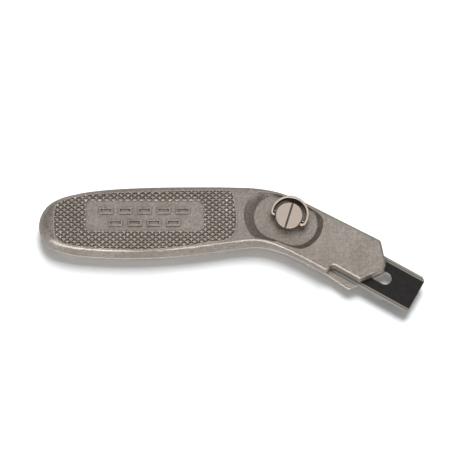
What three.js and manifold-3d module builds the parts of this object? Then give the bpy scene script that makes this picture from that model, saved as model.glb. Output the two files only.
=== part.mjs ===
// Carpet-layer's utility knife: a bent two-part die-cast handle that clamps a slotted blade.
//
// Millimetres. The knife lies on its side: +X points along the handle to the blade, +Y to the
// spine, +Z up out of the cover. It is laid out from the axis of the clamp screw, x = y = 0, with
// the face that it rests on at z = 0, and the group is moved at the end so that its origin is at
// the bottom centre of its box. The two castings meet in the parting plane, z = PARTING.
import * as THREE from "three";
import { mergeVertices } from "three/addons/utils/BufferGeometryUtils.js";
import Module from "manifold-3d";

const wasm = await Module();
wasm.setup();
const rad = THREE.MathUtils.degToRad;

// Driving dimensions of the two castings
const PARTING = 8; // height of the parting plane, and half the thickness of the grip
const GRIP_HALF = PARTING;
const NOSE_HALF = 5.8; // half the thickness of the nose
// Sides of each casting: upright for the land, then leaning in by the lean up to the grip's face
const COVER_SIDE = { land: 3.4, lean: 2.1, facets: 5 };
const BASE_SIDE = { land: 0.4, lean: 4.6, facets: 2 };
const GRIP_END = -25; // the grip's flat top ends here and slopes down
const NOSE_START = 6; // to the nose's flat top, which starts here
const BUTT = -117.3; // rearmost point of the handle
const BUTT_ROUND = 7; // length of the rounded butt, seen from the side
const NOSE_TIP = 45.4;

// The blade lies at an angle in the nose, in the parting plane
const BLADE = {
  length: 57, width: 18.9, thickness: 0.6, grind: 1.5, crop: 1.7, slot: 29.8, slotWidth: 6,
};
const BLADE_ANGLE = rad(-30);
const BLADE_CENTRE = new THREE.Vector2(34.6, -21.7);
const BLADE_GAP = 0.1; // above the blade and below it
const SEAT = { depth: BLADE.thickness + 2 * BLADE_GAP, play: 0.3 }; // the blade's seat in the base
// Posts through the blade's slot, by their distance from its middle, their height above the parting
// plane and their depth below it
const POST = { offsets: [-11.5, 2.5], radius: 2.5, height: 2, depth: 3, fit: 0.06, freeFit: 0.3 };

// Spare blades lie in a pocket in the base
const SPARES = 5;
const SPARE_PITCH = 0.66;
const STORE = { x: -71, y: -1.6, length: 59, width: 19.7, wall: 1.6 };
const CAVITY_WALL = 3.2;
const CAVITY_DEPTH = 5.4; // on each side of the parting plane
const CAVITY_REACH = [-110, -21.5]; // where the hollow of the grip ends, along x
const CROSS_RIB = 2;
const CROSS_RIBS = [STORE.x - STORE.length / 2 - CROSS_RIB, STORE.x + STORE.length / 2];
const LUG = { thickness: 2.4, half: 4, drop: 2, gap: 0.35 }; // hooks behind the rear cross rib

// Screw, washer, threaded insert and fold-down ring, all on the z axis
const DISH_FLOOR = PARTING + 3.8; // floor of the dished recess round the screw
const DISH = { radius: 10.7, rear: [-5.6, 1], front: [2.7, -2.2], rise: 5, run: 6.5 };
const DISH_RIM = { width: 1.8, shift: -0.5 }; // wider at the spine than at the belly
const SHANK = { radius: 2.95, bottom: PARTING - 4.6, hole: 3.3 };
const WASHER = { inner: 3.2, outer: 5.9, thickness: 0.8, gap: 0.03 };
const HEAD = { radius: 6.2, bottom: DISH_FLOOR + 0.9, top: DISH_FLOOR + 6.7, chamfer: 0.4 };
const SLOT = { width: 1.1, depth: 1.3, angle: rad(-17) };
const INSERT = { across: 9.4, bore: 3.2, top: PARTING - 0.3, depth: 4.5, fit: 0.06 };
const RING_ANGLE = rad(-22); // direction of the ring's hinge pin
const RING = {
  inner: 7.8, outer: 9, offset: 0.7, bottom: DISH_FLOOR + 2.3, top: DISH_FLOOR + 6.7,
};
const RING_ENDS = rad(12); // the strip runs on this far past the hinge line
const PIN = { radius: 0.8, height: DISH_FLOOR + 4.4, half: 8.2, fit: 0.1 };
const BOSS = { radius: 1.5, inner: 6.5 };

// Sunk plate in the grip, with a plain pattern of bars
const PLATE = { x: -67.6, y: 0.6, length: 55.2, width: 14.6, corner: 2, depth: 0.7 };
const BAR = { length: 6.6, width: 3.2, height: 0.4, pitch: 9 };
const BAR_ROWS = [
  { count: 5, y: 2.6 },
  { count: 4, y: -3.4 },
];

// Turns a closed geometry into a manifold-3d solid, and a solid back into a geometry.
function solid(geometry) {
  const bare = geometry.index ? geometry.toNonIndexed() : geometry.clone();
  bare.deleteAttribute("normal");
  bare.deleteAttribute("uv");
  const merged = mergeVertices(bare, 1e-4);
  return new wasm.Manifold(
    new wasm.Mesh({
      numProp: 3,
      vertProperties: merged.attributes.position.array,
      triVerts: new Uint32Array(merged.index.array),
    }),
  );
}

function geometryOf(body) {
  const mesh = body.getMesh();
  return new THREE.BufferGeometry()
    .setAttribute("position", new THREE.BufferAttribute(mesh.vertProperties, 3))
    .setIndex(new THREE.BufferAttribute(mesh.triVerts, 1));
}

const box = (x0, x1, y0, y1, z0, z1) =>
  solid(
    new THREE.BoxGeometry(x1 - x0, y1 - y0, z1 - z0)
      .translate((x0 + x1) / 2, (y0 + y1) / 2, (z0 + z1) / 2),
  );

// An upright cylinder between two heights.
const column = (radius, z0, z1, x = 0, y = 0, sides = 32) =>
  solid(
    new THREE.CylinderGeometry(radius, radius, z1 - z0, sides)
      .rotateX(Math.PI / 2)
      .translate(x, y, (z0 + z1) / 2),
  );

// A plan shape raised between two heights.
const prism = (shape, z0, z1, curveSegments = 8) =>
  solid(
    new THREE.ExtrudeGeometry(shape, { depth: z1 - z0, bevelEnabled: false, curveSegments })
      .translate(0, 0, z0),
  );

// All the space above a height, or below it, as far as the knife reaches.
const REACH = 200;
const above = (z) => box(-REACH, REACH, -REACH, REACH, z, z + REACH);
const below = (z) => box(-REACH, REACH, -REACH, REACH, z - REACH, z);

// Plan outline of the handle, the same for both castings up to the nose: spine, butt and belly.
function handleOutline(frontCorners) {
  const shape = new THREE.Shape();
  const [first, ...others] = frontCorners;
  shape.moveTo(...first);
  others.forEach((corner) => shape.lineTo(...corner));
  shape.lineTo(43.1, -10.6);
  shape.lineTo(8, 8);
  const spineButtBelly = [
    [-3, 12.5], [-15, 14.7], [-33, 15.5], [-65, 15.3], [-88, 13.9], [-104, 11.1], [-111.6, 8],
    [-115.6, 4], [BUTT, -1.8], [-116.1, -7.7], [-112, -12.8], [-101, -16.4], [-83, -17.9],
    [-64, -17.8], [-46, -16.4], [-26, -13.7], [-14, -12.7], [-4, -14.9], [6, -19.4],
  ];
  shape.splineThru(spineButtBelly.map(([x, y]) => new THREE.Vector2(x, y)));
  shape.closePath();
  return shape;
}

// The cover is notched above the blade's lower edge; the base runs on under it as a ledge.
const coverOutline = handleOutline([
  [17.9, -26.2], [19.8, -22.4], [32.8, -29.9], [44.2, -24.8], [NOSE_TIP, -22.4],
]);
const baseOutline = handleOutline([[17.9, -26.2], [27.8, -33.2], [NOSE_TIP, -24.9]]);

// An outline raised to the full thickness of the grip, with sides that round over to both faces.
const roundedSlab = (outline, { land, lean, facets }) =>
  solid(
    new THREE.ExtrudeGeometry(outline, {
      depth: 2 * land,
      bevelThickness: GRIP_HALF - land,
      bevelSize: lean,
      bevelOffset: -lean,
      bevelSegments: facets,
      curveSegments: 4,
    }).translate(0, 0, PARTING - land),
  );

// The stretch of an outline between two places along x, drawn in by a margin.
function drawnIn(outline, margin, [rear, front]) {
  const points = outline.getPoints(4).slice(0, -1);
  const inner = points.map((point, i) => {
    const along = points[(i + 1) % points.length].clone().sub(points.at(i - 1)).normalize();
    return new THREE.Vector2(point.x - margin * along.y, point.y + margin * along.x);
  });
  return new THREE.Shape(inner.filter(({ x }) => x > rear && x < front));
}

// Side view of the knife: thick grip, rounded butt, slimmer nose. It trims the rounded slabs.
function sideProfile() {
  const shape = new THREE.Shape();
  const middle = (GRIP_END + NOSE_START) / 2;
  shape.moveTo(NOSE_TIP + 1, PARTING - NOSE_HALF);
  shape.lineTo(NOSE_TIP + 1, PARTING + NOSE_HALF);
  shape.lineTo(NOSE_START, PARTING + NOSE_HALF);
  shape.bezierCurveTo(
    middle, PARTING + NOSE_HALF, middle, PARTING + GRIP_HALF, GRIP_END, PARTING + GRIP_HALF,
  );
  shape.lineTo(BUTT + BUTT_ROUND, PARTING + GRIP_HALF);
  shape.absellipse(BUTT + BUTT_ROUND, PARTING, BUTT_ROUND, GRIP_HALF, Math.PI / 2, 1.5 * Math.PI, false);
  shape.lineTo(GRIP_END, PARTING - GRIP_HALF);
  shape.bezierCurveTo(
    middle, PARTING - GRIP_HALF, middle, PARTING - NOSE_HALF, NOSE_START, PARTING - NOSE_HALF,
  );
  shape.closePath();
  return solid(
    new THREE.ExtrudeGeometry(shape, { depth: 2 * REACH, bevelEnabled: false, curveSegments: 8 })
      .rotateX(Math.PI / 2)
      .translate(0, REACH, 0),
  );
}

// Plan shapes that lie along the blade are drawn about its middle and moved by this matrix.
const bladeMatrix = new THREE.Matrix4()
  .makeRotationZ(BLADE_ANGLE)
  .setPosition(BLADE_CENTRE.x, BLADE_CENTRE.y, 0);

const alongBlade = (geometry) => solid(geometry.applyMatrix4(bladeMatrix));

const postPlaces = () => POST.offsets.map((x) => new THREE.Vector3(x, 0, 0).applyMatrix4(bladeMatrix));

// Dished recess round the clamp screw: a flat round-ended floor whose walls slope out.
function dish() {
  const { radius, rear, front, rise, run } = DISH;
  const across = Math.atan2(front[1] - rear[1], front[0] - rear[0]);
  const floor = new THREE.Shape();
  floor.absarc(...front, radius, across - Math.PI / 2, across + Math.PI / 2, false);
  floor.absarc(...rear, radius, across + Math.PI / 2, across + 1.5 * Math.PI, false);
  const bowl = new THREE.ExtrudeGeometry(floor, {
    depth: rise,
    bevelThickness: rise,
    bevelSize: run,
    bevelSegments: 1,
    curveSegments: 16,
  }).translate(0, 0, DISH_FLOOR + rise);
  const stretch = [PLATE.x, REACH]; // well past the recess on both sides
  const inside = prism(drawnIn(coverOutline, DISH_RIM.width, stretch), PARTING, 2 * PARTING + rise);
  return solid(bowl).intersect(inside.translate(0, DISH_RIM.shift, 0));
}

// Hollow of the grip, on one side of the parting plane, between its two cross ribs and beyond them.
function gripCavity(outline) {
  const hollow = prism(
    drawnIn(outline, CAVITY_WALL, CAVITY_REACH),
    PARTING - CAVITY_DEPTH,
    PARTING + CAVITY_DEPTH,
  );
  const rib = (x) => box(x, x + CROSS_RIB, -REACH, REACH, 0, 2 * PARTING);
  return CROSS_RIBS.reduce((rest, x) => rest.subtract(rib(x)), hollow);
}

// Rounded rectangle of the sunk plate.
function plateShape() {
  const { length, width, corner } = PLATE;
  const [x, y] = [length / 2 - corner, width / 2 - corner];
  const shape = new THREE.Shape();
  [[x, -y], [x, y], [-x, y], [-x, -y]].forEach(([cx, cy], i) =>
    shape.absarc(cx, cy, corner, ((i - 1) * Math.PI) / 2, (i * Math.PI) / 2, false),
  );
  return shape;
}

// What a casting loses and gains at its plate: side is 1 on the cover and -1 on the base.
function plate(side) {
  const face = PARTING + side * GRIP_HALF;
  const floor = face - side * PLATE.depth;
  const sunk = prism(plateShape(), Math.min(floor, face + side), Math.max(floor, face + side), 5)
    .translate(PLATE.x, PLATE.y, 0);
  const bars = BAR_ROWS.flatMap(({ count, y }) =>
    Array.from({ length: count }, (_, i) => {
      const x = PLATE.x + (i - (count - 1) / 2) * BAR.pitch;
      const yMiddle = PLATE.y + y;
      const [low, high] = [floor - side * BAR.height, floor + side * BAR.height].sort((a, b) => a - b);
      return box(
        x - BAR.length / 2, x + BAR.length / 2, yMiddle - BAR.width / 2, yMiddle + BAR.width / 2, low, high,
      );
    }),
  );
  return { sunk, bars };
}

// Upper casting: dished round the screw, notched at the nose, with a lug behind the base's rib.
function topShell() {
  const { sunk, bars } = plate(1);
  const lugFront = CROSS_RIBS[0] - LUG.gap;
  const lug = box(
    lugFront - LUG.thickness, lugFront, STORE.y - LUG.half, STORE.y + LUG.half,
    PARTING - LUG.drop, PARTING + CAVITY_DEPTH + 1,
  );
  const shell = roundedSlab(coverOutline, COVER_SIDE)
    .intersect(sideProfile())
    .intersect(above(PARTING))
    .subtract(gripCavity(coverOutline))
    .subtract(dish())
    .subtract(sunk)
    .subtract(column(SHANK.hole, 0, 2 * PARTING));
  const drilled = postPlaces().reduce(
    (rest, { x, y }) =>
      rest.subtract(column(POST.radius + POST.freeFit, 0, PARTING + POST.height + POST.freeFit, x, y, 24)),
    shell,
  );
  return [...bars, lug].reduce((whole, piece) => whole.add(piece), drilled);
}

// Lower casting: seat for the blade, pocket for the spare blades, bores for posts and insert.
function bottomShell() {
  const { sunk, bars } = plate(-1);
  const { x: xStore, y: yStore, length, width, wall } = STORE;
  const storeWalls = [yStore - width / 2 - wall, yStore + width / 2].map((y) =>
    box(xStore - length / 2 - 1, xStore + length / 2 + 1, y, y + wall, PARTING - CAVITY_DEPTH, PARTING - 1),
  );
  const seat = alongBlade(
    new THREE.BoxGeometry(BLADE.length + 2 * SEAT.play, BLADE.width + 2 * SEAT.play, 2 * SEAT.depth)
      .translate(0, 0, PARTING),
  );
  const shell = roundedSlab(baseOutline, BASE_SIDE)
    .intersect(sideProfile())
    .intersect(below(PARTING))
    .subtract(storeWalls.reduce((hollow, piece) => hollow.subtract(piece), gripCavity(baseOutline)))
    .subtract(seat)
    .subtract(sunk)
    .subtract(insertBody(INSERT.fit, PARTING + 1));
  const drilled = postPlaces().reduce(
    (rest, { x, y }) =>
      rest.subtract(column(POST.radius + POST.fit, PARTING - POST.depth - POST.fit, 2 * PARTING, x, y, 24)),
    shell,
  );
  return bars.reduce((whole, piece) => whole.add(piece), drilled);
}

// Hexagonal body of the threaded insert, grown by a margin for the pocket that it sits in.
function insertBody(margin, top = INSERT.top) {
  const radius = (INSERT.across / 2 + margin) / Math.cos(Math.PI / 6);
  return column(radius, INSERT.top - INSERT.depth - margin, top, 0, 0, 6);
}

const threadedInsert = () => insertBody(0).subtract(column(INSERT.bore, 0, 2 * PARTING));

// A closed polygon through a few corners.
const polygon = (corners) => new THREE.Shape(corners.map(([x, y]) => new THREE.Vector2(x, y)));

// A blade: both long edges ground from both faces, the four corners cropped, a slot in the middle.
function bladeGeometry() {
  const { length, width, thickness, grind, crop, slot, slotWidth } = BLADE;
  const [x, y, z] = [length / 2, width / 2, thickness / 2];
  const section = polygon([
    [-y, 0], [-y + grind, -z], [y - grind, -z], [y, 0], [y - grind, z], [-y + grind, z],
  ]);
  const bar = solid(
    new THREE.ExtrudeGeometry(section, { depth: length, bevelEnabled: false })
      .rotateX(Math.PI / 2)
      .rotateZ(Math.PI / 2)
      .translate(-x, 0, 0),
  );
  const plan = polygon([
    [x - crop, -y], [x, -y + crop], [x, y - crop], [x - crop, y],
    [-x + crop, y], [-x, y - crop], [-x, -y + crop], [-x + crop, -y],
  ]);
  const radius = slotWidth / 2;
  const middle = slot / 2 - radius;
  const hole = new THREE.Shape();
  hole.absarc(middle, 0, radius, -Math.PI / 2, Math.PI / 2, false);
  hole.absarc(-middle, 0, radius, Math.PI / 2, 1.5 * Math.PI, false);
  return geometryOf(bar.intersect(prism(plan, -1, 1)).subtract(prism(hole, -1, 1)));
}

// Turned screw: slotted head with a chamfered rim, cross-drilled for the ring's pin.
function clampScrew() {
  const { radius, bottom, top, chamfer } = HEAD;
  const point = 0.5; // chamfer at the end of the shank
  const profile = [
    [0, SHANK.bottom], [SHANK.radius - point, SHANK.bottom], [SHANK.radius, SHANK.bottom + point],
    [SHANK.radius, bottom], [radius, bottom], [radius, top - chamfer], [radius - chamfer, top], [0, top],
  ].map(([r, z]) => new THREE.Vector2(r, z));
  const turned = solid(new THREE.LatheGeometry(profile, 40).rotateX(Math.PI / 2));
  const slot = solid(
    new THREE.BoxGeometry(SLOT.width, 3 * radius, 2 * SLOT.depth).rotateZ(SLOT.angle).translate(0, 0, top),
  );
  return turned.subtract(slot).subtract(pinBody(PIN.radius + PIN.fit / 2, 2 * radius));
}

// A rod along the ring's hinge axis.
const pinBody = (radius, half) =>
  solid(
    new THREE.CylinderGeometry(radius, radius, 2 * half, 16)
      .rotateZ(Math.PI / 2 + RING_ANGLE)
      .translate(0, 0, PIN.height),
  );

// Strip bent to a ring round the screw's head, with an inward boss at each end, on the pin.
function bailRing() {
  const { inner, outer, offset, bottom, top } = RING;
  const plan = new THREE.Shape();
  plan.absarc(0, offset, outer, -RING_ENDS, Math.PI + RING_ENDS, false);
  plan.absarc(0, offset, inner, Math.PI + RING_ENDS, -RING_ENDS, true);
  const strip = solid(
    new THREE.ExtrudeGeometry(plan, { depth: top - bottom, bevelEnabled: false, curveSegments: 14 })
      .rotateZ(RING_ANGLE)
      .translate(0, 0, bottom),
  );
  const boss = pinBody(BOSS.radius, outer - 0.4).subtract(column(BOSS.inner, 0, 3 * PARTING));
  return strip.add(boss).subtract(pinBody(PIN.radius + PIN.fit, PIN.half + PIN.fit));
}

const clampWasher = () =>
  column(WASHER.outer, DISH_FLOOR + WASHER.gap, DISH_FLOOR + WASHER.gap + WASHER.thickness).subtract(
    column(WASHER.inner, 0, 3 * PARTING),
  );

// Finishes
const finish = (color, roughness, metalness) =>
  new THREE.MeshStandardMaterial({ color, roughness, metalness });
const castMetal = finish(0x9a9086, 0.5, 0.9);
const platedSteel = finish(0xc9beb4, 0.3, 1);
const plainSteel = finish(0x8f8d88, 0.4, 1);
const blackBlade = finish(0x2a2726, 0.45, 0.4);
const brass = finish(0xb08d4a, 0.4, 1);

const knife = new THREE.Group();

function part(name, body, material, parent = knife) {
  const mesh = new THREE.Mesh(body.isBufferGeometry ? body : geometryOf(body), material);
  mesh.name = name;
  parent.add(mesh);
  return mesh;
}

part("bottom_shell", bottomShell(), castMetal);
part("threaded_insert", threadedInsert(), brass);
postPlaces().forEach(({ x, y }, i) => {
  const post = column(POST.radius, PARTING - POST.depth, PARTING + POST.height, x, y, 24);
  part(["blade_post_rear", "blade_post_front"][i], post, plainSteel);
});

const cuttingBlade = part("cutting_blade", bladeGeometry(), blackBlade);
cuttingBlade.rotation.z = BLADE_ANGLE;
cuttingBlade.position.set(BLADE_CENTRE.x, BLADE_CENTRE.y, PARTING - BLADE_GAP - BLADE.thickness / 2);

for (let i = 0; i < SPARES; i += 1) {
  const spare = part(`spare_blade_${i + 1}`, bladeGeometry(), blackBlade);
  spare.position.set(STORE.x, STORE.y, PARTING - CAVITY_DEPTH + SPARE_PITCH * (i + 0.5));
}

const cover = new THREE.Group();
knife.add(cover);
part("top_shell", topShell(), castMetal, cover);
part("clamp_washer", clampWasher(), plainSteel, cover);
part("clamp_screw", clampScrew(), platedSteel, cover);
part("bail_pin", pinBody(PIN.radius, PIN.half), plainSteel, cover);
part("bail_ring", bailRing(), platedSteel, cover);

const bounds = new THREE.Box3().setFromObject(knife, true);
const middle = bounds.getCenter(new THREE.Vector3());
knife.position.set(-middle.x, -middle.y, -bounds.min.z);

export default knife;
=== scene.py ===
# Carpet layer's utility knife: a bent handle of two castings that clamps a slotted blade.
#
# Every piece is laid out in millimetres from the axis of the clamp screw, with the parting plane
# of the two castings at z = 0, and is then put in its place in the frame, in metres.
from math import atan2, cos, exp, log, pi, radians, sin

import bmesh
import bpy
from mathutils import Matrix, Vector
from mathutils.geometry import interpolate_bezier, intersect_line_line_2d


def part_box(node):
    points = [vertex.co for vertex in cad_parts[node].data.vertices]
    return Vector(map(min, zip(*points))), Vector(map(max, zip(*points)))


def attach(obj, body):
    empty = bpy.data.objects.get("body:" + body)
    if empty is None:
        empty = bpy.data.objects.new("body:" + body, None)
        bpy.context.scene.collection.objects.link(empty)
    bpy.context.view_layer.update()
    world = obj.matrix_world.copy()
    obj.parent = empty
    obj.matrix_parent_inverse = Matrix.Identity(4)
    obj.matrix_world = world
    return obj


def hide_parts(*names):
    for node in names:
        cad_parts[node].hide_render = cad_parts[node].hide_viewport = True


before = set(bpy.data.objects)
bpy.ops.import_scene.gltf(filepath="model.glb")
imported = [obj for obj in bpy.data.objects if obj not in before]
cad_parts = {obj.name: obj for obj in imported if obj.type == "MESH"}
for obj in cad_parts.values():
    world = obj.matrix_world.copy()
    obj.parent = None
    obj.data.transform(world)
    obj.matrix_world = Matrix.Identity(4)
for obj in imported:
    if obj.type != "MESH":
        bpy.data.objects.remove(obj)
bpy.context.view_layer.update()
scene = bpy.context.scene

# ---------------------------------------------------------------------------
# Camera and studio. The knife lies on a white table and is seen from steeply above its belly
# side, through a long lens. One large soft light hangs over it and three stand low before it.
# The table has a lamp of its own, so that the knife's shadow is short and soft.
AIM = Vector((-0.0005, 0.0098, 0.008))
TILT = radians(73)
DISTANCE = 1.2
SEEN_WIDTH = 0.216
TABLE_HALF = 3
ROOM = {"sides": 0.4, "wall": 0.75, "floor": 0.75}  # brightness round the table and behind it

camera_data = bpy.data.cameras.new("camera")
camera_data.sensor_width = 36
camera_data.lens = camera_data.sensor_width * DISTANCE / SEEN_WIDTH
camera = bpy.data.objects.new("camera", camera_data)
camera.location = AIM + DISTANCE * Vector((0, -cos(TILT), sin(TILT)))
camera.rotation_euler = (pi / 2 - TILT, 0, 0)
scene.collection.objects.link(camera)
scene.camera = camera
scene.view_settings.view_transform = "Standard"


def node_builder(owner):
    """Adds nodes to a material or world: node(kind, {socket: value or output}, setting=...)."""
    tree = owner.node_tree

    def node(kind, inputs=None, **settings):
        made = tree.nodes.new("ShaderNode" + kind)
        for setting, value in settings.items():
            setattr(made, setting, value)
        for socket, value in (inputs or {}).items():
            if isinstance(value, bpy.types.NodeSocket):
                tree.links.new(value, made.inputs[socket])
            else:
                made.inputs[socket].default_value = value
        return made

    return node


world = bpy.data.worlds.new("studio")
world.use_nodes = True
scene.world = world
node = node_builder(world)
heading = node("SeparateXYZ", {"Vector": node("TexCoord").outputs["Generated"]}).outputs
wall = node("MapRange", {
    "Value": heading["Y"], "From Min": 0.4, "From Max": 1.0,
    "To Min": ROOM["sides"], "To Max": ROOM["wall"],
}, interpolation_type="SMOOTHSTEP").outputs[0]
skyward = node("MapRange", {"Value": heading["Z"], "From Min": -0.05, "From Max": 0.05}).outputs[0]
brightness = node("Mix", {0: skyward, 2: ROOM["floor"], 3: wall}, data_type="FLOAT").outputs[0]
room = world.node_tree.nodes["Background"].inputs
room["Color"].default_value = (1.0, 0.985, 0.96, 1)
world.node_tree.links.new(brightness, room["Strength"])

table_shape = bmesh.new()
bmesh.ops.create_grid(table_shape, x_segments=1, y_segments=1, size=TABLE_HALF)
table_mesh = bpy.data.meshes.new("table")
table_shape.to_mesh(table_mesh)
table_shape.free()
table = bpy.data.objects.new("table", table_mesh)
scene.collection.objects.link(table)
table_paint = bpy.data.materials.new("white_table")
table_paint.use_nodes = True
table_finish = table_paint.node_tree.nodes["Principled BSDF"].inputs
table_finish["Base Color"].default_value = (0.91, 0.93, 0.95, 1)
table_finish["Roughness"].default_value = 0.9
table_mesh.materials.append(table_paint)
table.visible_glossy = False  # the metal mirrors the room's floor instead
table.visible_diffuse = False


def softbox(name, place, size, power, on_table):
    """A square area light that faces the knife. It lights either the table or the knife."""
    data = bpy.data.lights.new(name, "AREA")
    data.size = size
    data.energy = power
    light = bpy.data.objects.new(name, data)
    light.location = place
    light.rotation_euler = (AIM - Vector(place)).to_track_quat("-Z", "Y").to_euler()
    scene.collection.objects.link(light)
    lit = bpy.data.collections.new(name)
    lit.objects.link(table)
    lit.collection_objects[0].light_linking.link_state = "INCLUDE" if on_table else "EXCLUDE"
    light.light_linking.receiver_collection = lit


softbox("key", (0.15, 0.3, 1.15), 0.7, 2.0, on_table=False)
softbox("fill", (-0.15, -0.85, 0.42), 0.6, 7, on_table=False)
softbox("butt_fill", (-0.65, -0.6, 0.35), 0.5, 1.8, on_table=False)
softbox("nose_fill", (0.7, -0.5, 0.3), 0.5, 1.5, on_table=False)
softbox("table_lamp", (0.1, 0.52, 1.14), 0.6, 20, on_table=True)

# ---------------------------------------------------------------------------
# Lower casting, die-cast in warm grey metal and tumbled. Its sides round under the hand, its
# grip is checkered, and it holds the blade's seat, the spare blades' pocket and the bores.
screw_low, screw_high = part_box("clamp_screw")
parting_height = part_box("bottom_shell")[1].z
AXIS = Vector(((screw_low.x + screw_high.x) / 2, (screw_low.y + screw_high.y) / 2, parting_height))
TO_FRAME = Matrix.Translation(AXIS) @ Matrix.Diagonal((0.001, 0.001, 0.001, 1))

GRIP_HALF = 8  # half the thickness of the grip
NOSE_HALF = 5.8  # and of the nose
GRIP_END = -25  # the grip's face ends here and slopes down
NOSE_START = 6  # to the nose's face, which starts here
BUTT = -117.3
BUTT_ROUND = 6.3
NOSE_TIP = 45.4
NOSE_TOP = (43.1, -10.6)
SPINE_BUTT_BELLY = [
    (8, 8), (-3, 12.5), (-15, 14.7), (-33, 15.5), (-65, 15.3), (-88, 13.9), (-104, 11.1),
    (-111.6, 8), (-115.6, 4), (BUTT, -1.8), (-116.1, -7.7), (-112, -12.8), (-101, -16.4),
    (-83, -17.9), (-64, -17.8), (-46, -16.4), (-26, -13.7), (-14, -12.7), (-4, -14.9), (6, -19.4),
]
BASE_FRONT = [(17.9, -26.2), (27.8, -33.2), (NOSE_TIP, -24.9)]
# How far a side rounds over inwards and downwards, and how far it draws in below that. The
# butt rounds over nearly to the parting plane and leaves only the land upright.
BASE_SIDE = {
    "spine": (4.0, 6.2, 0.3), "belly": (4.0, 6.2, 0.3), "nose": (2.2, 4.2, 0.3), "land": 0.4,
}
BUTT_END = -98  # behind this the sides round over as widely as the butt

# The grip's face falls off from its middle line to its edges. It is flat in front.
CROWN = {"fall": 0.9, "half_width": 16, "power": 2.2, "most": 1.3, "flat_from": -28, "fade": 26}
MIDDLE_LINE = {"butt": -1.3, "rise": 2.2, "from": -60, "length": 40}
PAD_RISE = 0.6  # the checkered pad stands this far above the casting round it
PAD_FADE = {"from": -24, "length": 8}  # in front of it the casting rises to the pad's height
DIAMOND = (3.3, 2.4)  # length and width of one diamond of the checkering
DIAMOND_CUT = 0.65
DIAMOND_SLOPE = 0.8
LATTICE = {"rows": 48, "middle": (-67, -1), "reach": (48, 19)}
PAD_ROOT = {"frame": 2.2, "lattice": 2.5}  # how deep the pad's parts are rooted in the casting
PAD_FRAME = {"width": 0.7, "drop": 0.12}  # plain edge round the checkering, just under its points
PAD = [
    (-24.2, 2.6), (-26, 12.4), (-27.6, 13.4), (-45, 13.6), (-65, 13.1), (-88.6, 12.1),
    (-99, 10.6), (-105.5, 8.9), (-108.6, 7.0), (-110.2, 2.1), (-110, -7.3), (-108.8, -10.7),
    (-105.5, -13.1), (-98, -14.6), (-88.6, -15.6), (-65.2, -16.1), (-46.4, -14.2), (-37, -12.6),
    (-29.9, -11.7), (-26.2, -9.5), (-24.8, -7.3), (-24.1, -3.3),
]
PLATE = {"x": -67.6, "y": 0.6, "length": 55.2, "width": 14.6, "corner": 2, "depth": 1.1}
BAR = {
    "length": 6.6, "width": 3.2, "height": 0.95, "pitch": 9, "round": 0.08, "frame": 1.0, "sunk": 1.1,
}
BAR_ROWS = [(5, 2.6), (4, -3.4)]  # how many bars, and the row's distance from the plate's middle

CAVITY_WALL = 3.2
CAVITY_DEPTH = 5.4
CAVITY_REACH = (-110, -21.5)
STORE = {
    "x": -71, "y": -1.6, "length": 59, "width": 19.7, "wall": 1.6, "root": 0.5, "below_parting": 1,
}
CROSS_RIB = 2
CROSS_RIBS = (STORE["x"] - STORE["length"] / 2 - CROSS_RIB, STORE["x"] + STORE["length"] / 2)

BLADE = {"length": 57, "width": 18.9, "middle": Vector((34.6, -21.7, 0)), "angle": radians(-30)}
SEAT = {"depth": 0.8, "play": 0.3}
POST = {"offsets": (-11.5, 2.5), "radius": 2.5, "height": 2, "depth": 3, "fit": 0.06, "free": 0.3}
INSERT = {"across": 9.4, "bore": 3.2, "top": -0.3, "depth": 4.5, "fit": 0.06}
ALONG_BLADE = Matrix.Translation(BLADE["middle"]) @ Matrix.Rotation(BLADE["angle"], 4, "Z")
POST_PLACES = [ALONG_BLADE @ Vector((offset, 0, 0)) for offset in POST["offsets"]]
PAST = 1  # a cut or a joined shape reaches this far past the face that it meets

LONGEST_HANDLE = 0.4  # of a smooth line's curve, as a share of its stretch
ROUNDING_PULL = 0.55  # how near the curve of a rounded corner is drawn to the corner
LEAST_COSINE = 0.6  # keeps the way in at a sharp corner from being too long


def spline(points, steps=6):
    """A smooth line through the points, in steps between each two."""
    tangents = [
        (Vector(points[min(i + 1, len(points) - 1)]) - Vector(points[max(i - 1, 0)])) / 2
        for i in range(len(points))
    ]
    line = []
    for (a, b), (ta, tb) in zip(zip(points, points[1:]), zip(tangents, tangents[1:])):
        a, b = Vector(a), Vector(b)
        reach = LONGEST_HANDLE * (b - a).length
        from_a = ta.normalized() * min(ta.length / 3, reach)
        from_b = tb.normalized() * min(tb.length / 3, reach)
        line += interpolate_bezier(a, a + from_a, b - from_b, b, steps + 1)[:-1]
    return line + [Vector(points[-1])]


def outline(front, rounding=None):
    """Plan of a casting, anticlockwise from the end of the belly. Front corners may be rounded."""
    corners = [Vector(corner) for corner in front + [NOSE_TOP]]
    points = []
    line = corners + [Vector(SPINE_BUTT_BELLY[0])]
    for i, corner in enumerate(corners):
        radius = (rounding or {}).get(i, 0)
        if not radius:
            points.append(corner)
            continue
        before = line[i - 1] if i else Vector(SPINE_BUTT_BELLY[-1])
        start = corner + (before - corner).normalized() * radius
        end = corner + (line[i + 1] - corner).normalized() * radius
        start_pull = start.lerp(corner, ROUNDING_PULL)
        end_pull = end.lerp(corner, ROUNDING_PULL)
        points += interpolate_bezier(start, start_pull, end_pull, end, 6)
    return points + spline(SPINE_BUTT_BELLY)


def inward(points):
    """The way in at each point of a plan, longer at corners so that walls keep their thickness."""
    ways = []
    for i, point in enumerate(points):
        into = (point - points[i - 1]).normalized()
        out = (points[(i + 1) % len(points)] - point).normalized()
        across = Vector((-into.y - out.y, into.x + out.x)).normalized()
        ways.append(across / max(LEAST_COSINE, across.dot(Vector((-out.y, out.x)))))
    return ways


def drawn_in(points, margin):
    return [point + margin * way for point, way in zip(points, inward(points))]


def smooth(t):
    t = min(1, max(0, t))
    return t * t * (3 - 2 * t)


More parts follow.
